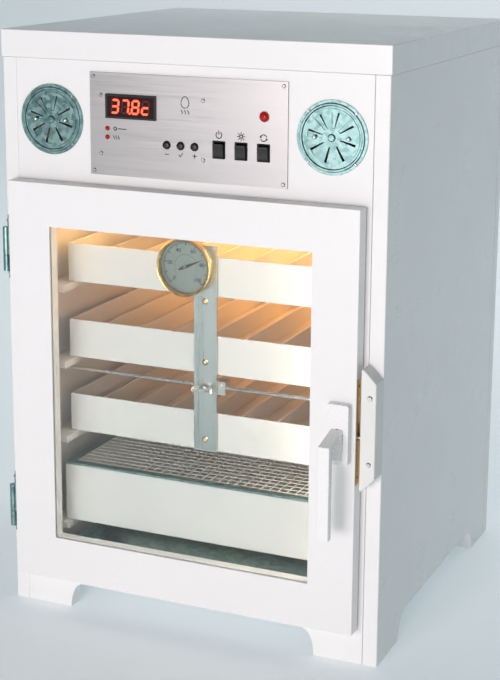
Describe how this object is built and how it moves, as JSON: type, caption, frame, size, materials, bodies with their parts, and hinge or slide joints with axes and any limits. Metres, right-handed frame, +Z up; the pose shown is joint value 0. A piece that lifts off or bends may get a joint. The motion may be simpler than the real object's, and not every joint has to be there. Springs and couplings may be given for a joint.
{
  "type": "cabinet egg incubator",
  "caption": "White cabinet on cut-out feet with a glazed side-hung door, turning egg trays, a hatching tray with mesh cover, a water pan and a control panel with air vents above the door.",
  "frame": {"origin": "on the surface the cabinet stands on, under the centre of the whole outline with the handle included", "axes": "+Z up, +X to the right seen from the front, the front faces -Y"},
  "size_m": [0.543, 0.604, 0.8],
  "materials": {
    "white_board": "white laminated board, satin",
    "white_plastic": "white rigid plastic sheet, satin",
    "white_handle": "white powder coat on die-cast handle",
    "brushed_steel": "stainless sheet, brushed along its length",
    "zinc_plate": "galvanised sheet with faint spangle",
    "aluminium_strip": "mill finish",
    "bright_steel": "bright plated steel",
    "yellow_zinc": "yellow passivated zinc or brass",
    "black_plastic": "black moulded plastic, semi-gloss",
    "red_lens": "red moulded lens",
    "clear_glass": "clear float glass",
    "grey_rubber": "grey rubber profile",
    "lamp_glass": "warm lit lamp glass"
  },
  "bodies": {
    "cabinet": {"left_side_board": "white_board", "right_side_board": "white_board", "front_frame": "white_board", "back_board": "white_board", "floor_board": "white_board", "lid": "white_board", "ceiling_board": "white_board", "left_rail_panel": "white_plastic", "right_rail_panel": "white_plastic", "back_liner": "white_plastic", "control_panel": "brushed_steel", "control_box": "black_plastic", "display_module": "black_plastic", "led_upper": "red_lens", "led_lower": "red_lens", "alarm_lamp": "red_lens", "left_vent_plate": "zinc_plate", "right_vent_plate": "zinc_plate", "upper_cabinet_leaf": "zinc_plate", "lower_cabinet_leaf": "zinc_plate", "catch_block": "white_plastic", "turning_motor": "black_plastic", "fan_motor": "black_plastic", "heater_element": "bright_steel", "chamber_lamp": "lamp_glass", "temperature_probe": "bright_steel", "cable_gland": "black_plastic"},
    "door": {"door_frame": "white_board", "door_glass": "clear_glass", "door_gasket": "grey_rubber", "lock_faceplate": "yellow_zinc", "handle_base": "white_handle", "upper_door_leaf": "zinc_plate", "lower_door_leaf": "zinc_plate"},
    "turning_bar": {"turning_bar": "aluminium_strip", "hygrometer_case": "yellow_zinc", "hygrometer_glass": "clear_glass"},
    "hatch_tray": {"hatch_tray": "white_plastic", "mesh_cover": "zinc_plate"},
    "handle_lever": {"handle_lever": "white_handle"},
    "lock_slide": {"lock_slide": "bright_steel"},
    "left_vent_rotor": {"left_vent_rotor": "zinc_plate"},
    "right_vent_rotor": {"right_vent_rotor": "zinc_plate"},
    "button_minus": {"button_minus": "black_plastic"},
    "button_set": {"button_set": "black_plastic"},
    "button_plus": {"button_plus": "black_plastic"},
    "rocker_power": {"rocker_power": "black_plastic"},
    "rocker_lamp": {"rocker_lamp": "black_plastic"},
    "rocker_turning": {"rocker_turning": "black_plastic"},
    "egg_tray_bottom": {"egg_tray_bottom": "white_plastic"},
    "egg_tray_middle": {"egg_tray_middle": "white_plastic"},
    "egg_tray_top": {"egg_tray_top": "white_plastic"},
    "egg_grid_bottom": {"egg_grid_bottom": "white_plastic"},
    "egg_grid_middle": {"egg_grid_middle": "white_plastic"},
    "egg_grid_top": {"egg_grid_top": "white_plastic"},
    "water_pan": {"water_pan": "zinc_plate"},
    "turning_rod": {"turning_rod": "bright_steel"},
    "wing_nut": {"wing_nut": "bright_steel"},
    "hygrometer_needle": {"hygrometer_needle": "black_plastic"},
    "fan_blade": {"fan_blade": "aluminium_strip"}
  },
  "joints": [
    {"name": "door_swing", "type": "hinge", "parent": "cabinet", "child": "door", "pos_m": [-0.262, -0.2355, 0.3265], "axis": [0, 0, -1], "range_deg": [0, 115]},
    {"name": "handle_turn", "type": "hinge", "parent": "door", "child": "handle_lever", "pos_m": [0.223, -0.2445, 0.3205], "axis": [0, 1, 0], "range_deg": [0, 90]},
    {"name": "lock_slide_move", "type": "slide", "parent": "door", "child": "lock_slide", "axis": [0, 0, 1], "range_m": [0, 0.0152]},
    {"name": "left_vent_turn", "type": "hinge", "parent": "cabinet", "child": "left_vent_rotor", "pos_m": [-0.1965, -0.2195, 0.685], "axis": [0, 1, 0], "range_deg": [-5, 14]},
    {"name": "right_vent_turn", "type": "hinge", "parent": "cabinet", "child": "right_vent_rotor", "pos_m": [0.1965, -0.2195, 0.685], "axis": [0, 1, 0], "range_deg": [-5, 14]},
    {"name": "button_minus_press", "type": "slide", "parent": "cabinet", "child": "button_minus", "axis": [0, 1, 0], "range_m": [0, 0.0015], "stiffness_N_per_m": 400},
    {"name": "button_set_press", "type": "slide", "parent": "cabinet", "child": "button_set", "axis": [0, 1, 0], "range_m": [0, 0.0015], "stiffness_N_per_m": 400},
    {"name": "button_plus_press", "type": "slide", "parent": "cabinet", "child": "button_plus", "axis": [0, 1, 0], "range_m": [0, 0.0015], "stiffness_N_per_m": 400},
    {"name": "rocker_power_tip", "type": "hinge", "parent": "cabinet", "child": "rocker_power", "pos_m": [0.0452, -0.2208, 0.6603], "axis": [-1, 0, 0], "range_deg": [0, 16]},
    {"name": "rocker_lamp_tip", "type": "hinge", "parent": "cabinet", "child": "rocker_lamp", "pos_m": [0.0757, -0.2208, 0.6603], "axis": [-1, 0, 0], "range_deg": [0, 16]},
    {"name": "rocker_turning_tip", "type": "hinge", "parent": "cabinet", "child": "rocker_turning", "pos_m": [0.1062, -0.2208, 0.6603], "axis": [-1, 0, 0], "range_deg": [0, 16]},
    {"name": "bottom_tray_slide", "type": "slide", "parent": "cabinet", "child": "egg_tray_bottom", "axis": [0, -1, 0], "range_m": [0, 0.242]},
    {"name": "bottom_grid_slide", "type": "slide", "parent": "egg_tray_bottom", "child": "egg_grid_bottom", "axis": [1, 0, 0], "range_m": [-0.0121, 0.0121]},
    {"name": "middle_tray_slide", "type": "slide", "parent": "cabinet", "child": "egg_tray_middle", "axis": [0, -1, 0], "range_m": [0, 0.242]},
    {"name": "middle_grid_slide", "type": "slide", "parent": "egg_tray_middle", "child": "egg_grid_middle", "axis": [1, 0, 0], "range_m": [-0.0121, 0.0121]},
    {"name": "top_tray_slide", "type": "slide", "parent": "cabinet", "child": "egg_tray_top", "axis": [0, -1, 0], "range_m": [0, 0.242]},
    {"name": "top_grid_slide", "type": "slide", "parent": "egg_tray_top", "child": "egg_grid_top", "axis": [1, 0, 0], "range_m": [-0.0121, 0.0121]},
    {"name": "hatch_tray_slide", "type": "slide", "parent": "cabinet", "child": "hatch_tray", "axis": [0, -1, 0], "range_m": [0, 0.202]},
    {"name": "water_pan_slide", "type": "slide", "parent": "cabinet", "child": "water_pan", "axis": [0, -1, 0], "range_m": [0, 0.202]},
    {"name": "turning_slide", "type": "slide", "parent": "cabinet", "child": "turning_rod", "axis": [1, 0, 0], "range_m": [-0.012, 0.012]},
    {"name": "bar_slide", "type": "slide", "parent": "turning_rod", "child": "turning_bar", "axis": [0, -1, 0], "range_m": [0, 0.242]},
    {"name": "wing_nut_turn", "type": "hinge", "parent": "turning_bar", "child": "wing_nut", "pos_m": [0.0045, -0.1741, 0.33115], "axis": [0, -1, 0], "continuous": true},
    {"name": "needle_turn", "type": "hinge", "parent": "turning_bar", "child": "hygrometer_needle", "pos_m": [-0.0205, -0.1912, 0.496], "axis": [0, 1, 0], "range_deg": [-120, 120], "stiffness_Nm_per_rad": 0.0005},
    {"name": "fan_spin", "type": "hinge", "parent": "cabinet", "child": "fan_blade", "pos_m": [0, 0.0405, 0.562], "axis": [0, 0, 1], "continuous": true}
  ],
  "couplings": [
    {"joint": "lock_slide_move", "follows": "handle_turn", "m_per_rad": 0.009549},
    {"joint": "bottom_tray_slide", "follows": "door_swing", "m_per_rad": 0.12},
    {"joint": "middle_tray_slide", "follows": "door_swing", "m_per_rad": 0.12},
    {"joint": "top_tray_slide", "follows": "door_swing", "m_per_rad": 0.12},
    {"joint": "bar_slide", "follows": "door_swing", "m_per_rad": 0.12},
    {"joint": "hatch_tray_slide", "follows": "door_swing", "m_per_rad": 0.1},
    {"joint": "water_pan_slide", "follows": "door_swing", "m_per_rad": 0.1},
    {"joint": "bottom_grid_slide", "follows": "turning_slide", "ratio": 1},
    {"joint": "middle_grid_slide", "follows": "turning_slide", "ratio": 1},
    {"joint": "top_grid_slide", "follows": "turning_slide", "ratio": 1}
  ]
}
